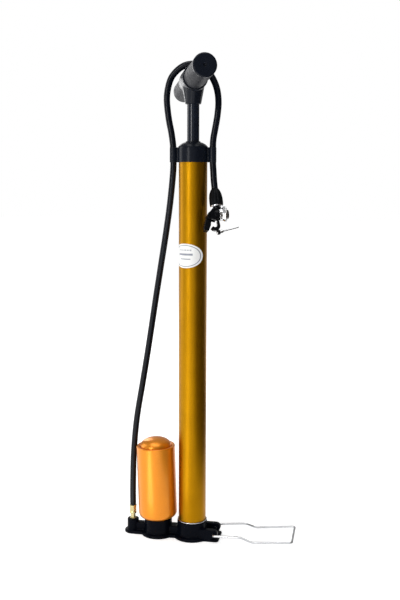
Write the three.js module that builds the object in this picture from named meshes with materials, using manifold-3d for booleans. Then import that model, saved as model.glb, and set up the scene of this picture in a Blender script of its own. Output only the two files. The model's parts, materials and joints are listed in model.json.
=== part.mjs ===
// A floor pump for bicycle tyres, in millimetres, +Z up.
// The origin is on the floor, on the axis of the barrel. +X points along the foot,
// from the air chamber towards the folding stirrup.
import * as THREE from 'three';
import { mergeVertices } from 'three/addons/utils/BufferGeometryUtils.js';
import Module from 'manifold-3d';

const wasm = await Module();
wasm.setup();

// ---- Driving dimensions ----
const GAP = 0.3;

// Base casting
const FLANGE_THICK = 4;
const BARREL_LOBE_R = 24.5;
const CHAMBER_LOBE_R = 22.5;
const HOSE_LOBE_R = 11;
const COLLAR_TOP = 22.5;
const BARREL_COLLAR_R = 19.3;
const CHAMBER_COLLAR_R = 17.8;
const SOCKET_FLOOR = 9;
const CHAMBER_X = -45;
const HOSE_X = -79;
const HOSE_SOCKET_R = 7.5;
const HOSE_SOCKET_TOP = 18;

// Barrel and cap
const BARREL_R = 17.5;
const BARREL_BORE_R = 16;
const BARREL_FOOT = 10.6;
const BARREL_TOP = 488;
const CAP_R = 18.6;
const CAP_FOOT = 479.5;
const CAP_SHOULDER = 497.6;
const CAP_TOP = 504;
const CLIP_X = 24.5;

// Rod, piston and handle
const ROD_R = 7.5;
const ROD_BORE_R = 6.2;
const ROD_FOOT = 40;
const ROD_TOP = 568;
const HANDLE_Z = 578;
const HANDLE_TURN = 18;
const HANDLE_TILT = 2.2;
const HANDLE_HALF = 105;
const GRIP_R = 13.6;
const SLEEVE_R = 15.4;
const SLEEVE_HALF = 22;
const CORE_R = 8;

// Air chamber
const CHAMBER_R = 24.8;
const CHAMBER_LEAN = 1.8;
const CHAMBER_PIVOT_Z = 16;
const CHAMBER_RIM = 119;
const LID_R = 20.2;
const LID_APEX = 129.3;

// Hose
const HOSE_R = 4;
const FERRULE_TOP = 36;
const BOOT_LENGTH = 20.5;

// Folding stirrup
const LUG_X = 30;
const LUG_Z = 9.5;
const LUG_INNER_Y = 8;
const LUG_OUTER_Y = 16;
const WIRE_R = 1.5;
const STIRRUP_REST = 5.5;

// Pump head, in its own frame: x towards the mouth, z back along the hose
const HEAD_PITCH = -15;
const HEAD_ROLL = -9;
const HEAD_YAW = 20;
const MOUTH_Z = -32.4;
const PIN_X = -11;
const PIN_Z = MOUTH_Z - 2;
const LEVER_REST = 20;
const LEVER_SWING = 70;
const COLLAR_R = 9.7;
const COLLAR_SLEEVE_R = 8;
const COLLAR_BORE = 6.6;
const COLLAR_BACK = 1.5;
const NEEDLE_TILT = 11;
const NEEDLE_X = -1.2;
const NEEDLE_Z = -54;

// Number of flat sides on round pieces
const ROUND_LARGE = 32;
const ROUND = 20;
const ROUND_SMALL = 12;

// ---- Helpers ----
const rad = THREE.MathUtils.degToRad;
const at = (radius, height) => new THREE.Vector2(radius, height);
const point = (x, y, z) => new THREE.Vector3(x, y, z);

// Points of an arc in the plane of a profile, angles in degrees.
function arc(cx, cy, radius, fromDeg, toDeg, steps) {
  const points = [];
  for (let i = 0; i <= steps; i += 1) {
    const angle = rad(fromDeg + ((toDeg - fromDeg) * i) / steps);
    points.push(at(cx + radius * Math.cos(angle), cy + radius * Math.sin(angle)));
  }
  return points;
}

// A profile in (radius, height) turned about the Z axis. The profile runs anticlockwise.
function lathe(profile, sides = ROUND) {
  const first = profile[0];
  const last = profile[profile.length - 1];
  const onAxis = first.x === 0 && last.x === 0;
  const points = onAxis ? profile : [...profile, first.clone()];
  return new THREE.LatheGeometry(points, sides).rotateX(Math.PI / 2);
}

function ring(outer, inner, bottom, top, sides = ROUND) {
  return lathe([at(inner, bottom), at(outer, bottom), at(outer, top), at(inner, top)], sides);
}

function rod(radius, bottom, top, sides = ROUND) {
  return lathe([at(0, bottom), at(radius, bottom), at(radius, top), at(0, top)], sides);
}

// A cylinder along X or along Y, from its start to its end.
function rodX(radius, from, to, sides = ROUND_SMALL) {
  return rod(radius, from, to, sides).rotateY(Math.PI / 2);
}

function rodY(radius, from, to, sides = ROUND_SMALL) {
  return rod(radius, -to, -from, sides).rotateX(Math.PI / 2);
}

function ringY(outer, inner, from, to, sides = ROUND) {
  return ring(outer, inner, -to, -from, sides).rotateX(Math.PI / 2);
}

function box(x0, x1, y0, y1, z0, z1) {
  const shape = new THREE.BoxGeometry(x1 - x0, y1 - y0, z1 - z0);
  return shape.translate((x0 + x1) / 2, (y0 + y1) / 2, (z0 + z1) / 2);
}

// A flat outline in the XY plane, given thickness along Z.
function plate(points, bottom, top) {
  const settings = { depth: top - bottom, bevelEnabled: false, curveSegments: 8 };
  return new THREE.ExtrudeGeometry(new THREE.Shape(points), settings).translate(0, 0, bottom);
}

// A flat outline in the XZ plane, given thickness along Y.
function plateXZ(points, fromY, toY) {
  const settings = { depth: toY - fromY, bevelEnabled: false, curveSegments: 8 };
  const shape = new THREE.ExtrudeGeometry(new THREE.Shape(points), settings);
  return shape.rotateX(Math.PI / 2).translate(0, toY, 0);
}

// A round bar of one radius swept along a curve.
function sweep(curve, radius, sides, steps) {
  const section = [];
  for (let i = 0; i < sides; i += 1) {
    const angle = (2 * Math.PI * i) / sides;
    section.push(at(radius * Math.cos(angle), radius * Math.sin(angle)));
  }
  const settings = { steps, bevelEnabled: false, extrudePath: curve };
  return new THREE.ExtrudeGeometry(new THREE.Shape(section), settings);
}

// Straight runs between points, with each corner rounded off.
function roundedPath(points, reach) {
  const path = new THREE.CurvePath();
  let start = points[0];
  for (let i = 1; i < points.length - 1; i += 1) {
    const corner = points[i];
    const into = corner.clone().sub(points[i - 1]).setLength(reach);
    const out = points[i + 1].clone().sub(corner).setLength(reach);
    const before = corner.clone().sub(into);
    const after = corner.clone().add(out);
    path.add(new THREE.LineCurve3(start, before));
    path.add(new THREE.QuadraticBezierCurve3(before, corner, after));
    start = after;
  }
  path.add(new THREE.LineCurve3(start, points[points.length - 1]));
  return path;
}

// ---- Solid cutting and joining ----
function toSolid(geometry) {
  const bare = geometry.clone();
  bare.deleteAttribute('normal');
  bare.deleteAttribute('uv');
  const merged = mergeVertices(bare, 1e-4);
  const mesh = new wasm.Mesh({
    numProp: 3,
    vertProperties: new Float32Array(merged.attributes.position.array),
    triVerts: new Uint32Array(merged.index.array),
  });
  return new wasm.Manifold(mesh);
}

function toGeometry(solid) {
  const mesh = solid.getMesh();
  const geometry = new THREE.BufferGeometry();
  geometry.setAttribute('position', new THREE.BufferAttribute(mesh.vertProperties, 3));
  geometry.setIndex(new THREE.BufferAttribute(mesh.triVerts, 1));
  return geometry;
}

function join(...pieces) {
  return toGeometry(pieces.map(toSolid).reduce((sum, next) => sum.add(next)));
}

function cut(body, ...tools) {
  return toGeometry(tools.map(toSolid).reduce((left, tool) => left.subtract(tool), toSolid(body)));
}

function common(first, second) {
  return toGeometry(toSolid(first).intersect(toSolid(second)));
}

// ---- Finishes ----
const finish = (color, roughness, metalness) => () =>
  new THREE.MeshStandardMaterial({ color, roughness, metalness });
const blackPlastic = finish(0x15171c, 0.38, 0);
const greyGrip = finish(0x24262b, 0.5, 0);
const blackPaint = finish(0x101216, 0.42, 0.1);
const blackRubber = finish(0x131416, 0.6, 0);
const goldPaint = finish(0xc88a18, 0.34, 0.45);
const orangePaint = finish(0xf29a2c, 0.32, 0.35);
const brass = finish(0xc9bc7a, 0.35, 1);
const chrome = finish(0xd9dbdc, 0.12, 1);
const steel = finish(0xb9bcbf, 0.3, 1);
const blackSteel = finish(0x12151b, 0.25, 0.6);
const leather = finish(0x6b4a2c, 0.7, 0);
const whiteLabel = finish(0xf3f3f0, 0.4, 0);

const pump = new THREE.Group();

function add(parent, name, geometry, material) {
  const mesh = new THREE.Mesh(geometry, material());
  mesh.name = name;
  parent.add(mesh);
  return mesh;
}

// ---- Base casting ----
// Three round lobes carry the barrel, the air chamber and the hose fitting.
function flangeOutline() {
  const lobes = [
    rod(BARREL_LOBE_R, 0, FLANGE_THICK, ROUND_LARGE),
    rod(CHAMBER_LOBE_R, 0, FLANGE_THICK, ROUND_LARGE).translate(CHAMBER_X, 0, 0),
    rod(HOSE_LOBE_R, 0, FLANGE_THICK).translate(HOSE_X, 0, 0),
    box(CHAMBER_X, 0, -14, 14, 0, FLANGE_THICK),
    box(HOSE_X, CHAMBER_X, -HOSE_LOBE_R, HOSE_LOBE_R, 0, FLANGE_THICK),
  ];
  const tongueCorner = 4;
  const tongueX = 37;
  const tongueY = 17;
  const tongue = plate([
    at(0, -tongueY),
    ...arc(tongueX - tongueCorner, tongueCorner - tongueY, tongueCorner, -90, 0, 4),
    ...arc(tongueX - tongueCorner, tongueY - tongueCorner, tongueCorner, 0, 90, 4),
    at(0, tongueY),
  ], 0, FLANGE_THICK - 1.5);
  return [...lobes, tongue];
}

// Each lug is an ear with a round eye, one on each side of the foot.
function lugs() {
  const eyeR = 5.5;
  const outline = [
    at(10, FLANGE_THICK - 2),
    at(22, FLANGE_THICK - 2),
    ...arc(LUG_X, LUG_Z, eyeR, -90, 90, 10),
    at(10, LUG_Z + eyeR),
  ];
  return [
    plateXZ(outline, -LUG_OUTER_Y, -LUG_INNER_Y),
    plateXZ(outline, LUG_INNER_Y, LUG_OUTER_Y),
  ];
}

function baseCasting() {
  const body = join(
    ...flangeOutline(),
    ...lugs(),
    rod(BARREL_COLLAR_R, 1, COLLAR_TOP, ROUND_LARGE),
    rod(CHAMBER_COLLAR_R, 1, COLLAR_TOP, ROUND_LARGE).translate(CHAMBER_X, 0, 0),
    rod(HOSE_SOCKET_R, 1, HOSE_SOCKET_TOP).translate(HOSE_X, 0, 0),
    box(CHAMBER_X, 0, -8, 8, 1, 13.2),
    box(HOSE_X, CHAMBER_X, -5, 5, 1, 14),
  );
  const channelLow = 3;
  const channelHigh = 6.5;
  const outletX = CHAMBER_X - 6.8;
  return cut(
    body,
    rod(BARREL_R + GAP, SOCKET_FLOOR, COLLAR_TOP + 5, ROUND_LARGE),
    rod(10.7, SOCKET_FLOOR + 1, COLLAR_TOP + 5).translate(CHAMBER_X, 0, 0),
    rod(4.8, SOCKET_FLOOR - 2, SOCKET_FLOOR + 5, ROUND_SMALL).translate(CHAMBER_X, 0, 0),
    // Air way from the barrel to the check valve
    rod(3, channelLow, SOCKET_FLOOR + 1, ROUND_SMALL),
    box(CHAMBER_X - 2, 1, -1.8, 1.8, channelLow, channelHigh),
    rod(2.2, channelLow, SOCKET_FLOOR, ROUND_SMALL).translate(CHAMBER_X, 0, 0),
    // Air way from the chamber to the hose
    rod(1.4, channelLow, SOCKET_FLOOR + 2, ROUND_SMALL).translate(outletX, 0, 0),
    box(HOSE_X - 1, outletX + 1, -1.4, 1.4, channelLow, channelHigh),
    rod(2, channelLow, SOCKET_FLOOR, ROUND_SMALL).translate(HOSE_X, 0, 0),
    rod(4.4, SOCKET_FLOOR - 1, HOSE_SOCKET_TOP + 5, ROUND_SMALL).translate(HOSE_X, 0, 0),
    // Eyes for the stirrup
    rodY(WIRE_R + GAP, -30, 30).translate(LUG_X, 0, LUG_Z),
  );
}

// ---- Barrel ----
function barrelLabel() {
  const halfAngle = 76;
  const halfHeight = 15;
  const middleZ = 366;
  const facing = -22;
  const outline = [];
  for (let i = 0; i < 48; i += 1) {
    const turn = (2 * Math.PI * i) / 48;
    const across = rad(halfAngle) * Math.cos(turn);
    outline.push(at(BARREL_R * Math.sin(across), middleZ + halfHeight * Math.sin(turn)));
  }
  const prism = plateXZ(outline, -BARREL_R - 2, -2);
  const skin = ring(BARREL_R + 0.4, BARREL_R + 0.15, middleZ - 20, middleZ + 20, 60);
  return common(skin, prism).rotateZ(rad(facing));
}

// The cap holds the rod guide, and a clip for the hose on each side.
function topCap() {
  const guideR = 9.4;
  const dome = [
    at(BARREL_R + GAP, CAP_FOOT),
    at(CAP_R, CAP_FOOT),
    at(CAP_R, CAP_SHOULDER - 1),
    at(CAP_R - 0.6, CAP_SHOULDER + 0.8),
    at(15.8, CAP_SHOULDER + 3.2),
    at(12, CAP_TOP - 1),
    at(guideR, CAP_TOP - 0.3),
    at(guideR, BARREL_TOP + 2.5),
    at(14, BARREL_TOP + 2.5),
    at(14, BARREL_TOP + GAP),
    at(BARREL_R + GAP, BARREL_TOP + GAP),
  ];
  const clipOuter = 6;
  const clipInner = HOSE_R + GAP;
  const openHalf = 50;
  const clip = plate([
    ...arc(0, 0, clipOuter, openHalf, 360 - openHalf, 22),
    ...arc(0, 0, clipInner, 360 - openHalf, openHalf, 22),
  ], CAP_FOOT, CAP_SHOULDER).translate(CLIP_X, 0, 0);
  // The web starts inside the cap's wall and ends inside the clip's, so that the three make one body.
  const webStart = CAP_R - 0.7;
  const webEnd = CLIP_X - clipInner - 0.4;
  const webHalf = 3.5;
  const web = box(webStart, webEnd, -webHalf, webHalf, CAP_FOOT, CAP_SHOULDER);
  const right = join(clip, web);
  const left = right.clone().rotateZ(Math.PI);
  return join(lathe(dome, ROUND_LARGE), right, left);
}

function rodGuideBush() {
  const inner = ROD_R + GAP;
  return lathe([
    at(inner, BARREL_TOP + 0.6),
    at(13, BARREL_TOP + 0.6),
    at(13, BARREL_TOP + 2.1),
    at(9.1, BARREL_TOP + 2.1),
    at(9.1, CAP_TOP + 0.8),
    at(inner, CAP_TOP + 0.8),
  ]);
}

function buildBarrel() {
  add(pump, 'base_casting', baseCasting(), blackPaint);
  const footRing = ring(19, BARREL_R + GAP, COLLAR_TOP + GAP, COLLAR_TOP + 1.5, ROUND_LARGE);
  add(pump, 'barrel_foot_ring', footRing, steel);
  const gasket = ring(BARREL_R - 0.1, 14.5, SOCKET_FLOOR + GAP, BARREL_FOOT - GAP);
  add(pump, 'barrel_gasket', gasket, blackRubber);
  const tube = ring(BARREL_R, BARREL_BORE_R, BARREL_FOOT, BARREL_TOP, ROUND_LARGE);
  add(pump, 'barrel_tube', tube, goldPaint);
  add(pump, 'barrel_label', barrelLabel(), whiteLabel);
  add(pump, 'top_cap', topCap(), blackPlastic);
  add(pump, 'rod_guide_bush', rodGuideBush(), blackPlastic);
}

// ---- Piston ----
// The cup's lip points down, so it seals on the push and lets air past on the pull.
function buildPiston() {
  const studR = 4;
  const hole = studR + GAP;
  const cup = lathe([
    at(hole, 26.7),
    at(13.2, 26.7),
    at(13.2, 18),
    at(15.6, 18),
    at(15.6, 27.5),
    at(13.6, 29.7),
    at(hole, 29.7),
  ], ROUND_LARGE);
  const headR = 5.9;
  const stud = lathe([
    at(0, 15),
    at(studR, 15),
    at(studR, ROD_FOOT + GAP),
    at(headR, ROD_FOOT + GAP),
    at(headR, ROD_FOOT + 22),
    at(0, ROD_FOOT + 22),
  ], ROUND_SMALL);
  add(pump, 'piston_plate', ring(14.5, hole, 30, ROD_FOOT - GAP), blackPlastic);
  add(pump, 'piston_cup', cup, leather);
  add(pump, 'piston_washer', ring(12, hole, 24.4, 26.4), steel);
  const nut = cut(rod(7.5, 18.5, 24.1, 6), rod(hole, 18, 25, ROUND_SMALL));
  add(pump, 'piston_nut', nut, steel);
  add(pump, 'piston_stud', stud, steel);
}

// ---- Handle ----
// The boss is round where the rod enters and widens along the handle towards the sleeve.
function handleBoss() {
  const bottom = 549 - HANDLE_Z;
  const top = -5;
  const throat = lathe([at(0, bottom), at(9.6, bottom), at(14, top), at(0, top)], ROUND_LARGE);
  const place = throat.attributes.position;
  for (let i = 0; i < place.count; i += 1) {
    const share = (place.getZ(i) - bottom) / (top - bottom);
    place.setY(i, place.getY(i) * (1 + 0.6 * share));
  }
  const tilted = (piece) => piece.rotateX(rad(-HANDLE_TILT));
  const sleeve = tilted(rodY(SLEEVE_R, -SLEEVE_HALF, SLEEVE_HALF, ROUND_LARGE));
  return cut(
    join(throat, sleeve),
    tilted(rodY(CORE_R + GAP, -SLEEVE_HALF - 2, SLEEVE_HALF + 2, ROUND)),
    rod(ROD_R + GAP, bottom - 1, 0, ROUND),
    rodX(2, -20, 20).translate(0, 0, -20),
  );
}

function grip() {
  const start = SLEEVE_HALF + GAP;
  const end = HANDLE_HALF - 4 - GAP;
  return lathe([
    at(CORE_R + GAP, start),
    at(GRIP_R - 0.8, start),
    at(GRIP_R, start + 1),
    at(GRIP_R, end),
    at(CORE_R + GAP, end),
  ], ROUND_LARGE);
}

function endCap() {
  const start = HANDLE_HALF - 4;
  const plugR = CORE_R - 1.5 - GAP;
  return lathe([
    at(0, start - 14),
    at(plugR, start - 14),
    at(plugR, start),
    at(GRIP_R, start),
    at(GRIP_R, HANDLE_HALF - 1.2),
    at(GRIP_R - 1.2, HANDLE_HALF),
    at(1.7, HANDLE_HALF),
    at(1.7, HANDLE_HALF - 2.5),
    at(0, HANDLE_HALF - 2.5),
  ], ROUND_LARGE);
}

function buildHandle() {
  const pinHole = rodX(2, -20, 20).translate(0, 0, HANDLE_Z - 20);
  const tube = ring(ROD_R, ROD_BORE_R, ROD_FOOT, ROD_TOP, ROUND);
  const turned = new THREE.Group();
  turned.rotation.z = rad(HANDLE_TURN);
  pump.add(turned);
  add(turned, 'pump_rod', cut(tube, pinHole), blackSteel);
  const cross = new THREE.Group();
  cross.position.z = HANDLE_Z;
  turned.add(cross);
  add(cross, 'handle_boss', handleBoss(), blackPlastic);
  add(cross, 'handle_pin', rodX(1.7, -11, 11).translate(0, 0, -20), steel);
  const bar = new THREE.Group();
  bar.rotation.x = rad(-HANDLE_TILT);
  cross.add(bar);
  const coreHalf = HANDLE_HALF - 4 - GAP;
  add(bar, 'handle_core', ringY(CORE_R, CORE_R - 1.5, -coreHalf, coreHalf), steel);
  // A piece made along +Z is laid along -Y for the near side and along +Y for the far side.
  for (const [side, quarter] of [['near', 1], ['far', -1]]) {
    add(bar, `grip_${side}`, grip().rotateX((quarter * Math.PI) / 2), greyGrip);
    add(bar, `end_cap_${side}`, endCap().rotateX((quarter * Math.PI) / 2), blackPlastic);
  }
}

// ---- Air chamber and check valve ----
function chamberShell() {
  const neckR = 10;
  const neckBore = 8.2;
  const innerR = CHAMBER_R - 1.6;
  return lathe([
    at(neckBore, 10.8),
    at(neckR, 10.8),
    at(neckR, COLLAR_TOP + 0.9),
    at(17.4, COLLAR_TOP + 0.9),
    ...arc(CHAMBER_R - 7, COLLAR_TOP + 7.9, 7, -60, 0, 3),
    at(CHAMBER_R, CHAMBER_RIM - 0.8),
    at(CHAMBER_R - 0.8, CHAMBER_RIM),
    at(LID_R + 1.3, CHAMBER_RIM),
    at(LID_R + GAP, CHAMBER_RIM - 1),
    at(LID_R + GAP, CHAMBER_RIM - 9),
    at(16, CHAMBER_RIM - 9),
    at(16, CHAMBER_RIM - 11),
    at(innerR, CHAMBER_RIM - 14),
    at(innerR, 32),
    at(16.5, COLLAR_TOP + 2.5),
    at(neckBore, COLLAR_TOP + 2.5),
  ], ROUND_LARGE);
}

function chamberLid() {
  const shoulder = CHAMBER_RIM - 0.6;
  const height = LID_APEX - shoulder;
  // The dome is half an ellipse, so that it rises steeply at its edge and is nearly flat on top.
  const dome = arc(0, 0, LID_R, 0, 90, 6).map((spot) => at(spot.x, shoulder + (spot.y * height) / LID_R));
  dome[dome.length - 1].x = 0;
  return lathe([at(0, CHAMBER_RIM - 6), at(LID_R, CHAMBER_RIM - 6), ...dome], ROUND_LARGE);
}

function buildChamber() {
  const upright = new THREE.Group();
  upright.position.set(CHAMBER_X, 0, CHAMBER_PIVOT_Z);
  upright.rotation.y = rad(-CHAMBER_LEAN);
  pump.add(upright);
  const lower = (geometry) => geometry.translate(0, 0, -CHAMBER_PIVOT_Z);
  add(upright, 'chamber_shell', lower(chamberShell()), orangePaint);
  add(upright, 'chamber_lid', lower(chamberLid()), orangePaint);
  const seal = ring(LID_R - 0.1, 16.5, CHAMBER_RIM - 8.7, CHAMBER_RIM - 6.3);
  add(upright, 'chamber_seal', lower(seal), blackRubber);
}

// A ball on a brass seat, caged in the neck of the chamber.
function buildCheckValve() {
  const valve = new THREE.Group();
  valve.position.x = CHAMBER_X;
  pump.add(valve);
  const seatTop = SOCKET_FLOOR + 1;
  const ballR = 3;
  const cage = lathe([
    at(3.5, seatTop + GAP),
    at(4.7, seatTop + GAP),
    at(4.7, seatTop + 8),
    at(1.5, seatTop + 8),
    at(1.5, seatTop + 7),
    at(3.5, seatTop + 7),
  ], ROUND_SMALL);
  const ball = new THREE.SphereGeometry(ballR, 16, 10).rotateX(Math.PI / 2);
  add(valve, 'valve_seat', ring(4.5, 2.2, SOCKET_FLOOR - 1.7, seatTop, ROUND_SMALL), brass);
  add(valve, 'valve_ball', ball.translate(0, 0, seatTop + 2.3), steel);
  add(valve, 'valve_cage', cage, brass);
}

// ---- Hose ----
// Up from the foot, through the left clip, over the handle behind the rod,
// and down through the right clip to the pump head.
const HEAD_TOP = point(28, -5, 447.2);
const hoseRoute = [
  point(HOSE_X, 0, FERRULE_TOP + GAP),
  point(-79.2, 0.8, 56),
  point(-79, 4, 96),
  point(-77.4, 6.4, 128),
  point(-74.2, 7.5, 157),
  point(-67.4, 8, 197),
  point(-60.8, 8, 236),
  point(-54.5, 7.5, 275),
  point(-48.2, 6.5, 314),
  point(-41.7, 5, 352),
  point(-34.2, 3, 396),
  point(-28.7, 1.2, 433),
  point(-25, 0.1, 468),
  point(-CLIP_X, 0, 480),
  point(-24.7, 0, 496),
  point(-27.2, 1.5, 514),
  point(-30.7, 4, 529),
  point(-33.4, 7, 543.5),
  point(-34.9, 9.5, 556.5),
  point(-34.2, 11.5, 568),
  point(-30.2, 13, 582),
  point(-22.2, 13.8, 591.6),
  point(-13, 14, 597),
  point(-3, 14, 598.4),
  point(7.2, 14, 596),
  point(16.6, 13.8, 588),
  point(23.4, 12.8, 577.5),
  point(27.8, 11, 565.5),
  point(29.6, 8.6, 551.5),
  point(28.8, 5.4, 535),
  point(26.9, 2.8, 521),
  point(24.8, 0.8, 507),
  point(CLIP_X, 0, 495),
  point(CLIP_X, 0, 482),
  point(25.4, -0.7, 468.5),
  point(26.5, -2.5, 456.8),
];

function buildHose() {
  const socket = new THREE.Group();
  socket.position.x = HOSE_X;
  pump.add(socket);
  const nipple = lathe([
    at(0, SOCKET_FLOOR),
    at(4.1, SOCKET_FLOOR),
    at(4.1, HOSE_SOCKET_TOP + GAP),
    at(5.2, HOSE_SOCKET_TOP + GAP),
    at(5.2, 24.7),
    at(3.1, 24.7),
    at(3.1, FERRULE_TOP - 0.6),
    at(1.4, FERRULE_TOP - 0.6),
    at(1.4, SOCKET_FLOOR + 1),
    at(0, SOCKET_FLOOR + 1),
  ], ROUND_SMALL);
  const ferrule = lathe([
    at(3.4, 25),
    at(4.6, 25),
    at(4.6, 27),
    at(4.3, 28),
    at(4.3, 33),
    at(4.6, 34),
    at(4.6, FERRULE_TOP),
    at(3.4, FERRULE_TOP),
  ], ROUND_SMALL);
  add(socket, 'hose_nipple', nipple, brass);
  add(socket, 'hose_ferrule', ferrule, brass);
  const along = point(0, 0, -1).applyEuler(headAngles());
  const end = HEAD_TOP.clone().addScaledVector(along, -GAP - 0.1);
  const route = new THREE.CatmullRomCurve3([...hoseRoute, end], false, 'centripetal');
  add(pump, 'air_hose', sweep(route, HOSE_R, 8, 60), blackRubber);
}

// ---- Pump head ----
function headAngles() {
  return new THREE.Euler(rad(HEAD_PITCH), rad(HEAD_ROLL), rad(HEAD_YAW), 'XYZ');
}

// A bell-shaped rubber sleeve with long ridges, round the end of the hose.
function headBoot() {
  const ridges = 10;
  const sleeve = lathe([
    at(2.4, -BOOT_LENGTH),
    at(8.2, -BOOT_LENGTH),
    at(8.5, -17),
    at(8.3, -11),
    at(7.5, -6),
    at(5.8, -2),
    at(4.4, 0),
    at(2.4, 0),
  ], ridges * 3);
  const place = sleeve.attributes.position;
  for (let i = 0; i < place.count; i += 1) {
    const x = place.getX(i);
    const y = place.getY(i);
    const radius = Math.hypot(x, y);
    if (radius > 5) {
      const wave = 0.35 * Math.cos(ridges * Math.atan2(y, x));
      place.setX(i, (x * (radius + wave - 0.35)) / radius);
      place.setY(i, (y * (radius + wave - 0.35)) / radius);
    }
  }
  return sleeve;
}

function headBody() {
  const shellEnd = COLLAR_BACK - 0.6;
  const barrel = rodX(7.4, -4.3, shellEnd, ROUND).translate(0, 0, MOUTH_Z);
  const neck = rod(5.2, MOUTH_Z, -22.9, ROUND);
  const collarSpace = rodX(COLLAR_SLEEVE_R + GAP, shellEnd, 9).translate(0, 0, MOUTH_Z);
  const spigot = rodX(COLLAR_BORE - GAP, 0, 5.2).translate(0, 0, MOUTH_Z);
  const ears = [[-6.6, -4.1], [4.1, 6.6]].map(([from, to]) => plateXZ([
    at(-3, PIN_Z - 6),
    at(-3, -24.6),
    at(-6.4, -25),
    ...arc(PIN_X, PIN_Z, 3.4, 140, 265, 8),
  ], from, to));
  return cut(
    join(cut(join(barrel, neck, ...ears), collarSpace), spigot),
    rodX(3.4, -20, 20).translate(0, 0, MOUTH_Z),
    rod(2, MOUTH_Z, -20, ROUND_SMALL),
    rodY(1.7, -10, 10).translate(PIN_X, 0, PIN_Z),
  );
}

// The collar screws on to the body's spigot, over the rubber grommet that grips the valve.
function headCollar() {
  const collar = lathe([
    at(COLLAR_BORE, COLLAR_BACK),
    at(COLLAR_SLEEVE_R, COLLAR_BACK),
    at(COLLAR_SLEEVE_R, 5.2),
    at(COLLAR_R, 7.9),
    at(COLLAR_R, 9.6),
    at(COLLAR_R - 0.7, 10.4),
    at(5.7, 10.4),
    at(5.7, 9.4),
    at(COLLAR_BORE, 9.4),
  ], ROUND);
  return collar.rotateY(Math.PI / 2).translate(0, 0, MOUTH_Z);
}

function headGrommet() {
  const rubber = lathe([
    at(3.8, 7.2),
    at(6.3, 7.2),
    at(6.3, 9.1),
    at(5.4, 9.1),
    at(5.4, 13.2),
    at(3.8, 13.2),
  ], ROUND);
  return rubber.rotateY(Math.PI / 2).translate(0, 0, MOUTH_Z);
}

// A thumb lever, folded down beside the head. Its round root turns on the pin.
function headLever() {
  const halfWidth = 5.2;
  const rootHalf = 3.7;
  const root = rodY(3.2, -rootHalf, rootHalf, ROUND_SMALL);
  // The cam lobe comes round to push the plunger when the lever is swung out.
  const camReach = 3.9;
  const camAngle = rad(LEVER_REST + LEVER_SWING);
  const lobe = rodY(2.2, -rootHalf, rootHalf, ROUND_SMALL).translate(camReach, 0, 0);
  const lobeNeck = box(0, camReach, -rootHalf, rootHalf, -2.2, 2.2);
  const cam = join(lobe, lobeNeck).rotateY(-camAngle);
  const arm = plateXZ([at(-2.8, 0), at(-3, -7), at(4, -7), at(2.8, 0)], -rootHalf, rootHalf);
  const paddle = plateXZ([
    at(-2.8, -5.2),
    at(-3, -15.8),
    ...arc(-0.6, -16.2, 2.4, 180, 270, 3),
    at(3.6, -18),
    at(4.4, -10.4),
    at(3.4, -5.2),
  ], -halfWidth, halfWidth);
  const ribRadius = 0.7;
  const firstRib = -7;
  const ribSpacing = 2.6;
  const ribs = [0, 1, 2, 3].map((i) => (
    rodY(ribRadius, -halfWidth, halfWidth, 8).translate(-2.9, 0, firstRib - ribSpacing * i)
  ));
  const lever = cut(join(root, cam, arm, paddle, ...ribs), rodY(1.7, -10, 10));
  return lever.rotateY(rad(LEVER_REST)).translate(PIN_X, 0, PIN_Z);
}

// A hook under the head, with a small eye at its foot that grips the needle.
function onNeedle(piece) {
  return piece.rotateY(rad(-NEEDLE_TILT)).translate(NEEDLE_X, 0, NEEDLE_Z);
}

function needleHolder() {
  const top = MOUTH_Z - 7.9;
  const halfWidth = 3.2;
  const inner = { x: -5, z: -44.8, radius: 3 };
  const outer = { x: -4.6, z: -46.2, radius: 6 };
  const hook = plateXZ([
    at(inner.x + inner.radius, top),
    ...arc(inner.x, inner.z, inner.radius, 0, -150, 7),
    ...arc(outer.x, outer.z, outer.radius, -155, 0, 9),
    at(0.7, top),
  ].reverse(), -halfWidth, halfWidth);
  const eye = onNeedle(rodX(3, -1.7, 1.7));
  return cut(join(hook, eye), onNeedle(rodX(1.9, -20, 30)));
}

// The inflating needle: a threaded stub, a flange and a thin tube with a closed tip.
function ballNeedle() {
  const needle = lathe([
    at(0, -2.6),
    at(1.6, -2.6),
    at(1.6, 2.2),
    at(2.2, 2.2),
    at(2.2, 5.4),
    at(0.95, 6.6),
    at(0.95, 25.4),
    at(0.5, 26.2),
    at(0, 26.2),
  ], 12);
  return onNeedle(needle.rotateY(Math.PI / 2));
}

function buildHead() {
  const head = new THREE.Group();
  head.position.copy(HEAD_TOP);
  head.rotation.copy(headAngles());
  pump.add(head);
  add(head, 'head_boot', headBoot(), blackRubber);
  add(head, 'head_ring', ring(7.9, 2.4, -22.4, -BOOT_LENGTH - GAP), chrome);
  add(head, 'head_body', headBody(), blackPlastic);
  add(head, 'head_collar', headCollar(), chrome);
  add(head, 'head_grommet', headGrommet(), blackRubber);
  add(head, 'head_plunger', rodX(3.1, -6.7, 4.6).translate(0, 0, MOUTH_Z), steel);
  add(head, 'head_lever', headLever(), blackPlastic);
  add(head, 'lever_pin', rodY(1.4, -6.5, 6.5).translate(PIN_X, 0, PIN_Z), blackPlastic);
  add(head, 'needle_holder', needleHolder(), blackPlastic);
  add(head, 'ball_needle', ballNeedle(), chrome);
}

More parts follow.
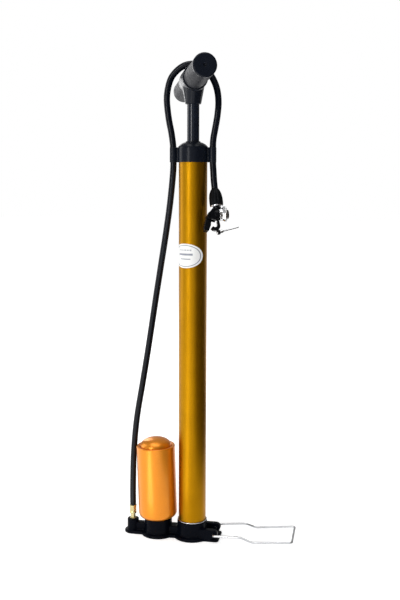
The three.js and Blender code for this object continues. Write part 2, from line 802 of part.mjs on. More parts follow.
// ---- Folding stirrup ----
// One bent wire, hooked into the eyes of both lugs.
function buildStirrup() {
  const side = (sign) => [
    point(0, sign * 9, 0),
    point(0, sign * 19.6, 0),
    point(37, sign * 22.8, -1.2),
    point(50, sign * 24.2, -7.4),
    point(101, sign * 26, -7.6),
  ];
  const wire = new THREE.Group();
  wire.position.set(LUG_X, 0, LUG_Z);
  wire.rotation.y = rad(-STIRRUP_REST);
  pump.add(wire);
  const path = roundedPath([...side(-1), ...side(1).reverse()], 4);
  add(wire, 'foot_stirrup', sweep(path, WIRE_R, 6, 80), steel);
}

buildBarrel();
buildPiston();
buildHandle();
buildChamber();
buildCheckValve();
buildHose();
buildHead();
buildStirrup();

export default pump;
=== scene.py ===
import json
import math

import bmesh
import bpy
from mathutils import Matrix, Vector


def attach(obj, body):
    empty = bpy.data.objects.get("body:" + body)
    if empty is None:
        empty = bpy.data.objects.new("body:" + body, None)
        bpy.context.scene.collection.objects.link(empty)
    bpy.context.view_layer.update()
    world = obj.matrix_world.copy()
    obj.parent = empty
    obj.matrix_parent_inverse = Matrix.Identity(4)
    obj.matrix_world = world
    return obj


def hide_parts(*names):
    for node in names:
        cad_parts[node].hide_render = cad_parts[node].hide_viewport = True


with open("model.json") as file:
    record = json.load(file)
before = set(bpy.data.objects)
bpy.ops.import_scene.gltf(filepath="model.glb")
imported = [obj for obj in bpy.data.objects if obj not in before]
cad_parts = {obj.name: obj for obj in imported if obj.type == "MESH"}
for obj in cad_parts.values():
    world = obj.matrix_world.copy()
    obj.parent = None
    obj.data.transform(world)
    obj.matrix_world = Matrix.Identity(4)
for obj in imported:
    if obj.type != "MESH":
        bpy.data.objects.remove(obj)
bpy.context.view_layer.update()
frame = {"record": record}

MM = 0.001
GAP = 0.3

BODY_OF = {
    node: body for body, nodes in frame["record"]["behaviour"]["bodies"].items() for node in nodes
}
SLOT_OF = {part["node"]: part["material_slot"] for part in frame["record"]["subparts"]}


# ---- Camera ----
CAMERA_SPOT = (0.2003, -1.0307, 0.457)
CAMERA_AZIMUTH = 10.5
CAMERA_DOWN = 8.0
CAMERA_ROLL = 0.21
LENS = 50.82


def make_camera():
    heading, down, roll = (math.radians(x) for x in (CAMERA_AZIMUTH, CAMERA_DOWN, CAMERA_ROLL))
    ahead = Vector((
        -math.sin(heading) * math.cos(down), math.cos(heading) * math.cos(down), -math.sin(down)
    ))
    level = Vector((math.cos(heading), math.sin(heading), 0))
    upright = level.cross(ahead)
    right = level * math.cos(roll) + upright * math.sin(roll)
    up = upright * math.cos(roll) - level * math.sin(roll)
    camera = bpy.data.objects.new("camera", bpy.data.cameras.new("camera"))
    camera.data.lens = LENS
    camera.data.sensor_width = 36
    camera.data.clip_start = 0.05
    turn = Matrix((right, up, -ahead)).transposed().to_4x4()
    camera.matrix_world = Matrix.Translation(CAMERA_SPOT) @ turn
    bpy.context.scene.collection.objects.link(camera)
    bpy.context.scene.camera = camera


make_camera()


# ---- Frames of the sub-assemblies, in millimetres ----
def turned(degrees, axis):
    return Matrix.Rotation(math.radians(degrees), 4, axis)


def shifted(x, y, z):
    return Matrix.Translation((x, y, z))


CHAMBER_X = -45
HOSE_X = -79
CHAMBER_PIVOT = 16
CHAMBER_LEAN = -1.8
UPRIGHT = Matrix.Identity(4)
CHAMBER = shifted(CHAMBER_X, 0, CHAMBER_PIVOT) @ turned(CHAMBER_LEAN, "Y") @ shifted(0, 0, -CHAMBER_PIVOT)
VALVE = shifted(CHAMBER_X, 0, 0)
SOCKET = shifted(HOSE_X, 0, 0)
HANDLE_Z = 578
HANDLE_ANGLE = 18
HANDLE_TILT = -2.2
TURNED = turned(HANDLE_ANGLE, "Z")
CROSS = TURNED @ shifted(0, 0, HANDLE_Z)
BAR = CROSS @ turned(HANDLE_TILT, "X")
HEAD_TOP = Vector((28, -5, 447.2))
HEAD = Matrix.Translation(HEAD_TOP) @ turned(-15, "X") @ turned(-9, "Y") @ turned(20, "Z")
LUG_X, LUG_Z, LUG_R = 30, 9.5, 5.5
STIRRUP_REST = -5.5
STIRRUP = shifted(LUG_X, 0, LUG_Z) @ turned(STIRRUP_REST, "Y")


# ---- Outlines ----
def arc(cx, cy, radius, start, end, steps):
    """Points on an arc, its angles in degrees."""
    angles = [math.radians(start + (end - start) * i / steps) for i in range(steps + 1)]
    return [(cx + radius * math.cos(a), cy + radius * math.sin(a), 0) for a in angles]


def hexagon(radius, first):
    """The corners of a hexagon, the first of them at this angle in degrees."""
    angles = [math.radians(first + 60 * k) for k in range(6)]
    return [(radius * math.cos(a), radius * math.sin(a)) for a in angles]


FILLET_STEPS = 4
NEARLY_STRAIGHT = math.radians(87)


def fillet(points, radius, closed=True):
    """Rounds an outline's corners. A point's third number is a corner radius of its own."""
    made = []
    for i, corner in enumerate(points):
        here = Vector(corner[:2])
        size = corner[2] if len(corner) > 2 else radius
        back = Vector(points[i - 1][:2]) - here
        ahead = Vector(points[(i + 1) % len(points)][:2]) - here
        is_end = not closed and i in (0, len(points) - 1)
        if is_end or size <= 0 or min(back.length, ahead.length) < 1e-5:
            made.append(here)
            continue
        half = back.angle(ahead) / 2
        if half > NEARLY_STRAIGHT:
            made.append(here)
            continue
        reach = min(size / math.tan(half), 0.45 * back.length, 0.45 * ahead.length)
        size = reach * math.tan(half)
        middle = (back.normalized() + ahead.normalized()).normalized()
        centre = here + middle * (size / math.sin(half))
        start = here + back.normalized() * reach - centre
        end = here + ahead.normalized() * reach - centre
        first = math.atan2(start.y, start.x)
        sweep = (math.atan2(end.y, end.x) - first + math.pi) % math.tau - math.pi
        for k in range(FILLET_STEPS + 1):
            angle = first + sweep * k / FILLET_STEPS
            made.append(centre + Vector((math.cos(angle), math.sin(angle))) * size)
    return made


# ---- Meshes ----
def new_mesh(points, faces):
    mesh = bpy.data.meshes.new("shape")
    mesh.from_pydata(points, [], faces)
    shape = bmesh.new()
    shape.from_mesh(mesh)
    bmesh.ops.recalc_face_normals(shape, faces=shape.faces)
    shape.to_mesh(mesh)
    shape.free()
    return mesh


def moved(mesh, matrix):
    mesh.transform(matrix)
    return mesh


def lathe(profile, radius, sides=96, wave=None):
    """A profile of (radius, height) points turned about Z. wave(r, z, angle) can change the radius."""
    solid = profile[0][0] == 0 and profile[-1][0] == 0
    points, rings = [], []
    for r, z in fillet(profile, radius, closed=not solid):
        if r < 1e-6:
            rings.append([len(points)])
            points.append((0, 0, z))
            continue
        rings.append(list(range(len(points), len(points) + sides)))
        for s in range(sides):
            angle = math.tau * s / sides
            reach = wave(r, z, angle) if wave else r
            points.append((reach * math.cos(angle), reach * math.sin(angle), z))
    faces = []
    for a, b in zip(rings, rings[1:] + ([] if solid else rings[:1])):
        for s in range(sides):
            t = (s + 1) % sides
            face = [a[s % len(a)], a[t % len(a)], b[t % len(b)], b[s % len(b)]]
            faces.append(list(dict.fromkeys(face)))
    return new_mesh(points, faces)


def rod(radius, low, high, edge=0.3, sides=64):
    return lathe([(0, low), (radius, low), (radius, high), (0, high)], edge, sides)


def ring(outer, inner, low, high, edge=0.3, sides=96):
    return lathe([(inner, low), (outer, low), (outer, high), (inner, high)], edge, sides)


def along_x(mesh):
    return moved(mesh, turned(90, "Y"))


def along_y(mesh):
    return moved(mesh, turned(-90, "X"))


def prism(outline, low, high, corner, edge, segments=3):
    """A flat outline in XY, given thickness along Z, with its rims rounded."""
    flat = fillet(outline, corner)
    count = len(flat)
    points = [(p.x, p.y, z) for z in (low, high) for p in flat]
    sides = [(i, (i + 1) % count, count + (i + 1) % count, count + i) for i in range(count)]
    mesh = new_mesh(points, [list(range(count)), list(range(count, 2 * count)), *sides])
    if edge > 0:
        shape = bmesh.new()
        shape.from_mesh(mesh)
        rims = [e for e in shape.edges if abs(e.verts[0].co.z - e.verts[1].co.z) < 1e-6]
        bmesh.ops.bevel(
            shape, geom=rims, offset=edge, segments=segments, profile=0.5, affect="EDGES",
            clamp_overlap=True,
        )
        shape.to_mesh(mesh)
        shape.free()
    return mesh


def prism_y(outline, low, high, corner, edge=0.3):
    """A flat outline in XZ, given thickness along Y."""
    return moved(prism(outline, -high, -low, corner, edge), turned(90, "X"))


def block(x0, x1, y0, y1, z0, z1, corner, edge):
    return prism([(x0, y0), (x1, y0), (x1, y1), (x0, y1)], z0, z1, corner, edge)


def tube(path, radius, sides=24):
    """A round bar along a path of points, with flat ends."""
    path = [Vector(p) for p in path]
    aims = [(b - a).normalized() for a, b in zip(path, path[1:])]
    tangents = [aims[0], *((a + b).normalized() for a, b in zip(aims, aims[1:])), aims[-1]]
    side = tangents[0].orthogonal().normalized()
    points = []
    for spot, aim in zip(path, tangents):
        side = (side - aim * side.dot(aim)).normalized()
        other = aim.cross(side)
        for s in range(sides):
            angle = math.tau * s / sides
            points.append(spot + (side * math.cos(angle) + other * math.sin(angle)) * radius)
    faces = [list(range(sides)), list(range(len(points) - sides, len(points)))]
    for k in range(len(path) - 1):
        for s in range(sides):
            t = (s + 1) % sides
            faces.append([k * sides + s, k * sides + t, (k + 1) * sides + t, (k + 1) * sides + s])
    return new_mesh(points, faces)


def with_modifiers(meshes, build):
    """The first mesh after build(first object, the other objects) has put modifiers on it."""
    scratch = [bpy.data.objects.new("scratch", mesh) for mesh in meshes]
    for item in scratch:
        bpy.context.scene.collection.objects.link(item)
    build(scratch[0], scratch[1:])
    bpy.context.view_layer.update()
    shown = scratch[0].evaluated_get(bpy.context.evaluated_depsgraph_get())
    made = bpy.data.meshes.new_from_object(shown)
    for item in scratch:
        bpy.data.objects.remove(item)
    return made


def combine(base, tools, operation):
    def build(first, others):
        for other in others:
            step = first.modifiers.new("combine", "BOOLEAN")
            step.object = other
            step.operation = operation
            step.solver = "EXACT"
    return with_modifiers([base, *tools], build)


def join(*meshes):
    return combine(meshes[0], meshes[1:], "UNION")


def cut(base, *tools):
    return combine(base, tools, "DIFFERENCE")


def moulded(mesh, voxel, passes):
    """One even skin with soft corners, as a casting or a moulding has."""
    def build(first, _others):
        skin = first.modifiers.new("skin", "REMESH")
        skin.mode = "VOXEL"
        skin.voxel_size = voxel
        soft = first.modifiers.new("soft", "SMOOTH")
        soft.factor = 0.5
        soft.iterations = passes
    return with_modifiers([mesh], build)


# ---- Materials ----
class Surface:
    """A material that is being made: a Principled shader with procedural nodes in front of it."""

    def __init__(self, name):
        self.material = bpy.data.materials.new(name)
        self.material.use_nodes = True
        self.tree = self.material.node_tree
        self.tree.nodes.clear()
        self.shader = self.node("BsdfPrincipled")
        output = self.node("OutputMaterial")
        self.tree.links.new(self.shader.outputs[0], output.inputs["Surface"])
        self.where = self.node("TexCoord").outputs["Object"]
        self.height = None

    def node(self, kind, inputs=None, **settings):
        made = self.tree.nodes.new("ShaderNode" + kind)
        for key, value in settings.items():
            setattr(made, key, value)
        for key, value in (inputs or {}).items():
            if isinstance(value, bpy.types.NodeSocket):
                self.tree.links.new(value, made.inputs[key])
            else:
                made.inputs[key].default_value = value
        return made

    def set(self, **values):
        """Values of the shader's own sockets, by name with _ for a space."""
        for key, value in values.items():
            name = key.replace("_", " ")
            if isinstance(value, bpy.types.NodeSocket):
                self.tree.links.new(value, self.shader.inputs[name])
            else:
                self.shader.inputs[name].default_value = value

    def stretched(self, x, y, z):
        return self.node("Mapping", {"Vector": self.where, "Scale": (x, y, z)}).outputs[0]

    def noise(self, scale, detail, rough=0.5, where=None):
        inputs = {"Vector": where or self.where, "Scale": scale, "Detail": detail, "Roughness": rough}
        return self.node("TexNoise", inputs).outputs["Fac"]

    def cells(self, scale, feature="SMOOTH_F1"):
        inputs = {"Vector": self.where, "Scale": scale}
        return self.node("TexVoronoi", inputs, feature=feature).outputs["Distance"]

    def remap(self, value, low, high, to_low=0.0, to_high=1.0):
        inputs = {"Value": value, "From Min": low, "From Max": high, "To Min": to_low, "To Max": to_high}
        return self.node("MapRange", inputs).outputs[0]

    def math(self, operation, a, b=0.0):
        made = self.node("Math", {0: a}, operation=operation)
        if isinstance(b, bpy.types.NodeSocket):
            self.tree.links.new(b, made.inputs[1])
        else:
            made.inputs[1].default_value = b
        return made.outputs[0]

    def blend(self, share, low, high):
        made = self.node("Mix", data_type="RGBA")
        for index, value in ((0, share), (6, low), (7, high)):
            if isinstance(value, bpy.types.NodeSocket):
                self.tree.links.new(value, made.inputs[index])
            else:
                made.inputs[index].default_value = (*value, 1) if index else value
        return made.outputs[2]

    def bump(self, height, depth, strength):
        """Adds relief that is depth metres high where height goes from 0 to 1."""
        inputs = {"Height": height, "Distance": depth, "Strength": strength}
        if self.height is not None:
            inputs["Normal"] = self.height
        self.height = self.node("Bump", inputs).outputs[0]
        self.set(Normal=self.height)

    def edges(self, low, high):
        """From 0 on flat stretches to 1 on outer edges."""
        point = self.node("NewGeometry").outputs["Pointiness"]
        return self.remap(point, low, high)


def gold_lacquer():
    s = Surface("gold_lacquer")
    flakes = s.remap(s.cells(2600, "F1"), 0.1, 0.7)
    cloud = s.remap(s.noise(26, 4), 0.3, 0.7)
    light = s.blend(cloud, (0.45, 0.213, 0.0016), (0.51, 0.247, 0.0024))
    deep = s.blend(cloud, (0.35, 0.157, 0.0010), (0.40, 0.184, 0.0014))
    s.set(
        Base_Color=s.blend(flakes, light, deep),
        Metallic=0.98, Coat_Weight=0.02, Coat_Roughness=0.14,
        Roughness=s.remap(s.noise(70, 5), 0.3, 0.7, 0.38, 0.44),
    )
    s.bump(s.noise(420, 2), 0.00002, 0.5)
    return s.material


def orange_lacquer():
    s = Surface("orange_lacquer")
    flakes = s.remap(s.cells(2600, "F1"), 0.1, 0.7)
    s.set(
        Base_Color=s.blend(flakes, (0.90, 0.315, 0.014), (0.78, 0.245, 0.008)),
        Metallic=0.62, Coat_Weight=0.2, Coat_Roughness=0.08,
        Roughness=s.remap(s.noise(60, 5), 0.3, 0.7, 0.29, 0.36),
    )
    s.bump(s.noise(130, 2), 0.00001, 0.3)
    return s.material


def black_enamel():
    s = Surface("black_enamel")
    worn = s.math("MULTIPLY", s.edges(0.53, 0.62), s.remap(s.noise(160, 6), 0.45, 0.62))
    dust = s.remap(s.noise(55, 6, 0.65), 0.45, 0.75, 0.0, 0.3)
    base = s.blend(dust, (0.0014, 0.0022, 0.0052), (0.0046, 0.0054, 0.0086))
    s.set(
        Base_Color=s.blend(worn, base, (0.030, 0.033, 0.040)),
        Roughness=s.remap(s.noise(140, 5), 0.3, 0.7, 0.22, 0.38),
        Specular_IOR_Level=0.04,
    )
    s.bump(s.noise(520, 4), 0.00010, 0.5)
    s.bump(s.noise(90, 3), 0.00030, 0.35)
    return s.material


def black_plastic():
    s = Surface("black_plastic")
    s.set(
        Base_Color=s.blend(s.noise(45, 5), (0.0028, 0.0045, 0.0090), (0.0048, 0.0068, 0.0120)),
        Roughness=s.remap(s.noise(110, 5), 0.3, 0.7, 0.22, 0.30),
        Specular_IOR_Level=0.16,
    )
    s.bump(s.noise(1400, 3), 0.00002, 0.4)
    return s.material


def grip_plastic():
    s = Surface("grip_plastic")
    grain = s.cells(950)
    rub = s.remap(s.noise(38, 6, 0.6), 0.35, 0.7)
    s.set(
        Base_Color=s.blend(rub, (0.017, 0.018, 0.022), (0.030, 0.031, 0.035)),
        Roughness=s.remap(s.noise(200, 5), 0.3, 0.7, 0.42, 0.54),
        Specular_IOR_Level=0.05,
    )
    s.bump(s.math("SUBTRACT", 1.0, grain), 0.00014, 0.5)
    s.bump(s.noise(2400, 2), 0.00003, 0.4)
    return s.material


def head_plastic():
    s = Surface("head_plastic")
    pebbles = s.cells(430)
    s.set(
        Base_Color=s.blend(s.noise(150, 4), (0.0018, 0.0020, 0.0030), (0.0042, 0.0046, 0.0060)),
        Roughness=s.remap(s.noise(260, 4), 0.3, 0.7, 0.17, 0.28),
        Specular_IOR_Level=0.12,
    )
    s.bump(s.math("SUBTRACT", 1.0, pebbles), 0.00035, 0.7)
    s.bump(s.noise(1300, 3), 0.00005, 0.5)
    return s.material


def hose_rubber():
    s = Surface("hose_rubber")
    s.set(
        Base_Color=s.blend(s.noise(34, 5), (0.0014, 0.0024, 0.0056), (0.0034, 0.0046, 0.0082)),
        Roughness=s.remap(s.noise(80, 5), 0.3, 0.7, 0.10, 0.14),
        Specular_IOR_Level=0.20,
    )
    s.bump(s.noise(700, 2), 0.00001, 0.3)
    return s.material


def dull_rubber():
    s = Surface("dull_rubber")
    s.set(
        Base_Color=s.blend(s.noise(120, 5), (0.0020, 0.0026, 0.0034), (0.0050, 0.0056, 0.0066)),
        Roughness=s.remap(s.noise(170, 5), 0.3, 0.7, 0.30, 0.44),
        Specular_IOR_Level=0.07,
    )
    s.bump(s.noise(1500, 4), 0.00004, 0.5)
    return s.material


def rod_enamel():
    s = Surface("rod_enamel")
    s.set(
        Base_Color=s.blend(s.noise(30, 4), (0.0022, 0.0046, 0.0110), (0.0038, 0.0070, 0.0150)),
        Roughness=s.remap(s.noise(60, 4, where=s.stretched(14, 14, 1)), 0.3, 0.7, 0.11, 0.15),
        Specular_IOR_Level=0.5,
    )
    s.bump(s.noise(400, 2), 0.000004, 0.3)
    return s.material


def bare_metal(name, light, dark, low, high, grain, depth):
    s = Surface(name)
    s.set(
        Base_Color=s.blend(s.noise(180, 5), dark, light),
        Metallic=1.0,
        Roughness=s.remap(s.noise(350, 5), 0.3, 0.7, low, high),
    )
    s.bump(s.noise(grain, 3), depth, 0.5)
    return s.material


def brushed_steel():
    s = Surface("zinc_steel")
    lines = s.noise(900, 3, where=s.stretched(1, 6, 6))
    s.set(
        Base_Color=s.blend(s.noise(140, 6, 0.6), (0.50, 0.51, 0.53), (0.74, 0.75, 0.76)),
        Metallic=1.0,
        Roughness=s.remap(lines, 0.3, 0.7, 0.18, 0.32),
    )
    s.bump(lines, 0.00002, 0.4)
    return s.material


def oiled_leather():
    s = Surface("oiled_leather")
    creases = s.cells(700)
    s.set(
        Base_Color=s.blend(s.noise(220, 6, 0.6), (0.085, 0.040, 0.017), (0.190, 0.100, 0.046)),
        Roughness=s.remap(s.noise(300, 4), 0.3, 0.7, 0.42, 0.62),
    )
    s.bump(creases, 0.00015, 0.6)
    return s.material


def printed_label():
    """White film with a plain printed border, two bars and a row of dots."""
    s = Surface("printed_label")
    place = s.node("Attribute", attribute_name="place").outputs["Vector"]
    split = s.node("SeparateXYZ", {"Vector": place})
    across, up = split.outputs["X"], split.outputs["Y"]
    out = s.math("SQRT", s.math("ADD", s.math("POWER", across, 2), s.math("POWER", up, 2)))

    def near(value, middle, half):
        soft = 0.012
        away = s.math("ABSOLUTE", s.math("SUBTRACT", value, middle))
        return s.remap(away, half + soft, half, 0.0, 1.0)

    border = near(out, 0.86, 0.022)
    bars = s.math("MAXIMUM",
                  s.math("MULTIPLY", near(up, 0.12, 0.075), near(across, 0.0, 0.42)),
                  s.math("MULTIPLY", near(up, -0.26, 0.035), near(across, 0.0, 0.30)))
    wave = s.math("ABSOLUTE", s.math("SINE", s.math("MULTIPLY", across, 34.0)))
    dots = s.math("MULTIPLY", s.remap(wave, 0.55, 0.75),
                  s.math("MULTIPLY", near(up, 0.47, 0.05), near(across, 0.0, 0.36)))
    ink = s.math("MAXIMUM", border, s.math("MAXIMUM", bars, dots))
    film = s.blend(s.noise(90, 4), (0.80, 0.80, 0.79), (0.88, 0.88, 0.87))
    s.set(
        Base_Color=s.blend(s.math("MULTIPLY", ink, 0.85), film, (0.12, 0.14, 0.20)),
        Roughness=s.remap(s.noise(120, 4), 0.3, 0.7, 0.26, 0.38),
        Coat_Weight=0.3, Coat_Roughness=0.1,
    )
    s.bump(s.noise(260, 2), 0.00002, 0.5)
    return s.material


MATERIALS = {
    "gold_paint": gold_lacquer(),
    "orange_paint": orange_lacquer(),
    "black_paint": black_enamel(),
    "black_plastic": black_plastic(),
    "grip_plastic": grip_plastic(),
    "head_plastic": head_plastic(),
    "hose_rubber": hose_rubber(),
    "rubber": dull_rubber(),
    "rod_paint": rod_enamel(),
    "brass": bare_metal("pale_brass", (0.72, 0.64, 0.36), (0.50, 0.42, 0.20), 0.20, 0.34, 1200, 0.00003),
    "chrome": bare_metal("chrome_plate", (0.86, 0.87, 0.88), (0.70, 0.71, 0.73), 0.06, 0.13, 500, 0.00001),
    "steel": brushed_steel(),
    "leather": oiled_leather(),
    "label": printed_label(),
}


# ---- Placing ----
SHARP = math.radians(38)


def stand_for(node, mesh, where=UPRIGHT):
    """Shows mesh, drawn in millimetres in the frame where, in place of a CAD node."""
    mesh.transform(Matrix.Scale(MM, 4) @ where)
    mesh.polygons.foreach_set("use_smooth", [True] * len(mesh.polygons))
    mesh.set_sharp_from_angle(angle=SHARP)
    piece = bpy.data.objects.new(node + ".fine", mesh)
    mesh.name = piece.name
    mesh.materials.clear()
    mesh.materials.append(MATERIALS[SLOT_OF[node]])
    bpy.context.scene.collection.objects.link(piece)
    even = piece.modifiers.new("even_shading", "WEIGHTED_NORMAL")
    even.keep_sharp = True
    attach(piece, BODY_OF[node])
    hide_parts(node)
    return piece


# ---- Hose ----
HOSE_R = 4
FERRULE_TOP = 36
HOSE_ROUTE = [
    (HOSE_X, 0, FERRULE_TOP + GAP),
    (-79.2, 0.8, 56),
    (-79, 4, 96),
    (-77.4, 6.4, 128),
    (-74.2, 7.5, 157),
    (-67.4, 8, 197),
    (-60.8, 8, 236),
    (-54.5, 7.5, 275),
    (-48.2, 6.5, 314),
    (-41.7, 5, 352),
    (-34.2, 3, 396),
    (-28.7, 1.2, 433),
    (-25, 0.1, 468),
    (-24.5, 0, 480),
    (-24.7, 0, 496),
    (-27.2, 1.5, 514),
    (-30.7, 4, 529),
    (-33.4, 7, 543.5),
    (-34.9, 9.5, 556.5),
    (-34.2, 11.5, 568),
    (-30.2, 13, 582),
    (-22.2, 13.8, 591.6),
    (-13, 14, 597),
    (-3, 14, 598.4),
    (7.2, 14, 596),
    (16.6, 13.8, 588),
    (23.4, 12.8, 577.5),
    (27.8, 11, 565.5),
    (29.6, 8.6, 551.5),
    (28.8, 5.4, 535),
    (26.9, 2.8, 521),
    (24.8, 0.8, 507),
    (24.5, 0, 495),
    (24.5, 0, 482),
    (25.4, -0.7, 468.5),
    (26.5, -2.5, 456.8),
]


def smooth_route(points, per_span):
    """A centripetal Catmull-Rom curve through the points."""
    spots = [Vector(p) for p in points]
    spots = [2 * spots[0] - spots[1], *spots, 2 * spots[-1] - spots[-2]]
    made = []
    for p0, p1, p2, p3 in zip(spots, spots[1:], spots[2:], spots[3:]):
        d0, d1, d2 = (math.sqrt((b - a).length) for a, b in ((p0, p1), (p1, p2), (p2, p3)))
        leave = ((p1 - p0) / d0 - (p2 - p0) / (d0 + d1) + (p2 - p1) / d1) * d1
        arrive = ((p2 - p1) / d1 - (p3 - p1) / (d1 + d2) + (p3 - p2) / d2) * d1
        for k in range(per_span):
            t = k / per_span
            made.append(
                p1 * (2 * t**3 - 3 * t**2 + 1) + leave * (t**3 - 2 * t**2 + t)
                + p2 * (3 * t**2 - 2 * t**3) + arrive * (t**3 - t**2)
            )
    return [*made, spots[-2]]


def build_hose():
    into_head = HEAD_TOP + (HEAD.to_3x3() @ Vector((0, 0, 1))) * (GAP + 0.1)
    route = smooth_route([*HOSE_ROUTE, into_head], 12)
    hose = stand_for("air_hose", tube(route, HOSE_R))
    on_it = [build_head_piece(name) for name in HEAD_SHAPES]


# ---- Pump head, in its own frame: x towards the mouth, z back along the hose ----
MOUTH_Z = -32.4
BOOT_LENGTH = 20.5
PIN_X = -11
PIN_Z = MOUTH_Z - 2
PIN_R = 1.4
PLUNGER_R = 3.1
LEVER_REST = 20
LEVER_SWING = 70
NEEDLE_TILT = 11
NEEDLE_SPOT = (-1.2, 0, -54)
NEEDLE_R = 1.6
COLLAR_R = 9.7
COLLAR_SLEEVE_R = 8
COLLAR_BORE = 6.6
COLLAR_BACK = 1.5
AT_MOUTH = shifted(0, 0, MOUTH_Z) @ turned(90, "Y")
AT_PIN = shifted(PIN_X, 0, PIN_Z)
AT_LEVER = AT_PIN @ turned(LEVER_REST, "Y")
AT_NEEDLE = shifted(*NEEDLE_SPOT) @ turned(-NEEDLE_TILT, "Y")


def head_boot():
    ridges = 10

    def ribbed(r, z, angle):
        if r < 5:
            return r
        fade = min(1, max(0, (-z - 2.5) / 4)) * min(1, max(0, (z + BOOT_LENGTH - 1.2) / 1.5))
        dip = 0.7 * (0.5 - 0.5 * math.cos(ridges * angle)) ** 3
        return r - dip * fade - 0.05

    return lathe([
        (2.4, -BOOT_LENGTH), (8.2, -BOOT_LENGTH, 0.5), (8.5, -17, 1.5), (8.3, -11, 4), (7.5, -6, 4),
        (5.8, -2, 3), (4.5, 0, 0.4), (4.1, 0, 0.1), (4.1, -3, 0), (2.4, -3, 0),
    ], 0.3, 240, ribbed)


def head_ring():
    return ring(7.9, 2.4, -22.4, -BOOT_LENGTH - GAP, 0.45)


def head_body():
    """A shell with a spigot for the collar, a neck for the boot and two ears for the lever's pin."""
    shell_end = COLLAR_BACK - 0.6
    ears = [
        prism_y([(-3, PIN_Z - 6), (-3, -24.6), (-6.4, -25), *arc(PIN_X, PIN_Z, 3.4, 140, 265, 14)],
                low, high, 0.6, 0.5)
        for low, high in ((-6.6, -4.1), (4.1, 6.6))
    ]
    shell = moved(rod(7.4, -4.3, shell_end, 0.5), AT_MOUTH)
    neck = cut(
        rod(5.2, MOUTH_Z, -22.9, 0.4),
        moved(rod(COLLAR_SLEEVE_R + GAP, shell_end - 0.2, 9, 0), AT_MOUTH),
    )
    spigot = moved(rod(COLLAR_BORE - GAP, 0, 5.2, 0.3), AT_MOUTH)
    body = moulded(join(shell, neck, spigot, *ears), 0.24, 4)
    return cut(
        body,
        moved(rod(PLUNGER_R + GAP, -20, 20, 0), AT_MOUTH),
        rod(2, MOUTH_Z, -20, 0),
        moved(along_y(rod(PIN_R + GAP, -10, 10, 0)), AT_PIN),
    )


def head_collar():
    """A plated ring: a fluted sleeve, a flare and a rim with a knurled edge."""
    def worked(r, z, angle):
        if r > COLLAR_R - 0.1 and 7.8 < z < 9.7:
            return r - 0.22 * (0.5 - 0.5 * math.cos(44 * angle))
        if 7.5 < r < 8.1 and 2.1 < z < 4.7:
            return r - 0.45 * (0.5 - 0.5 * math.cos(11 * angle)) ** 2
        return r

    return moved(lathe([
        (COLLAR_BORE, COLLAR_BACK), (COLLAR_SLEEVE_R, COLLAR_BACK, 0.3), (COLLAR_SLEEVE_R, 2.2, 0),
        (COLLAR_SLEEVE_R, 4.6, 0), (COLLAR_SLEEVE_R, 5.2, 0.4), (COLLAR_R, 7.7, 0.3), (COLLAR_R, 7.9, 0),
        (COLLAR_R, 9.5, 0), (COLLAR_R, 9.6), (COLLAR_R - 0.7, 10.4), (5.7, 10.4), (5.7, 9.4),
        (COLLAR_BORE, 9.4),
    ], 0.3, 352, worked), AT_MOUTH)


def head_grommet():
    return moved(lathe([
        (3.8, 7.2), (6.3, 7.2), (6.3, 9.1), (5.4, 9.1), (5.4, 13.2, 0.7), (3.8, 13.2, 0.4),
    ], 0.25), AT_MOUTH)


def head_plunger():
    return moved(rod(PLUNGER_R, -6.7, 4.6, 0.4), AT_MOUTH)


def head_lever():
    half_width, root_half = 5.2, 3.7
    arm = prism_y([(-2.8, 0), (-3, -7), (4, -7), (2.8, 0)], -root_half, root_half, 0.3)
    paddle = prism_y([
        (-2.8, -5.2, 0.6), (-3, -15.8, 0), *arc(-0.6, -16.2, 2.4, 180, 270, 8), (3.6, -18, 1.4),
        (4.4, -10.4, 2), (3.4, -5.2, 0.8),
    ], -half_width, half_width, 0.6, 0.7)
    ribs = [
        moved(along_y(rod(0.7, -half_width + 0.2, half_width - 0.2, 0.3, 24)),
              shifted(-2.9, 0, -7 - 2.6 * i))
        for i in range(4)
    ]
    reach = 3.9
    lobe = join(
        moved(along_y(rod(2.2, -root_half, root_half)), shifted(reach, 0, 0)),
        block(0, reach, -root_half, root_half, -2.2, 2.2, 0, 0.1),
    )
    cam = moved(lobe, turned(-(LEVER_REST + LEVER_SWING), "Y"))
    root = along_y(rod(3.2, -root_half, root_half, 0.3))
    body = moulded(join(root, cam, arm, paddle, *ribs), 0.24, 4)
    return moved(cut(body, along_y(rod(PIN_R + GAP, -10, 10, 0))), AT_LEVER)


def lever_pin():
    return moved(along_y(rod(PIN_R, -6.5, 6.5, 0.3)), AT_PIN)


def needle_holder():
    """A C-shaped hook with an eye at its foot."""
    top, half_width = MOUTH_Z - 7.9, 3.2
    outline = [
        (-2, top), *arc(-5, -44.8, 3, 0, -150, 18), *arc(-4.6, -46.2, 6, -155, 0, 24), (0.7, top),
    ]
    hook = prism_y(outline[::-1], -half_width, half_width, 0.3, 0.6)
    eye = moved(along_x(rod(3, -1.7, 1.7, 0.4)), AT_NEEDLE)
    body = moulded(join(hook, eye), 0.2, 3)
    return cut(body, moved(along_x(rod(NEEDLE_R + GAP, -20, 30, 0)), AT_NEEDLE))


def ball_needle():
    """A threaded stub, a collar and a thin tube with a closed round tip."""
    pitch = 0.8
    thread = []
    for i in range(5):
        low = -2.0 + pitch * i
        thread += [(1.25, low, 0.05), (NEEDLE_R, low + pitch / 2, 0.05)]
    return moved(lathe([
        (0, -2.6), (1.3, -2.6), *thread, (1.25, 2.1, 0.05), (2.2, 2.2), (2.2, 5.4),
        (0.95, 6.6), (0.95, 25.4, 0.5), (0.5, 26.2, 0.3), (0, 26.2),
    ], 0.2, 48), AT_NEEDLE @ turned(90, "Y"))


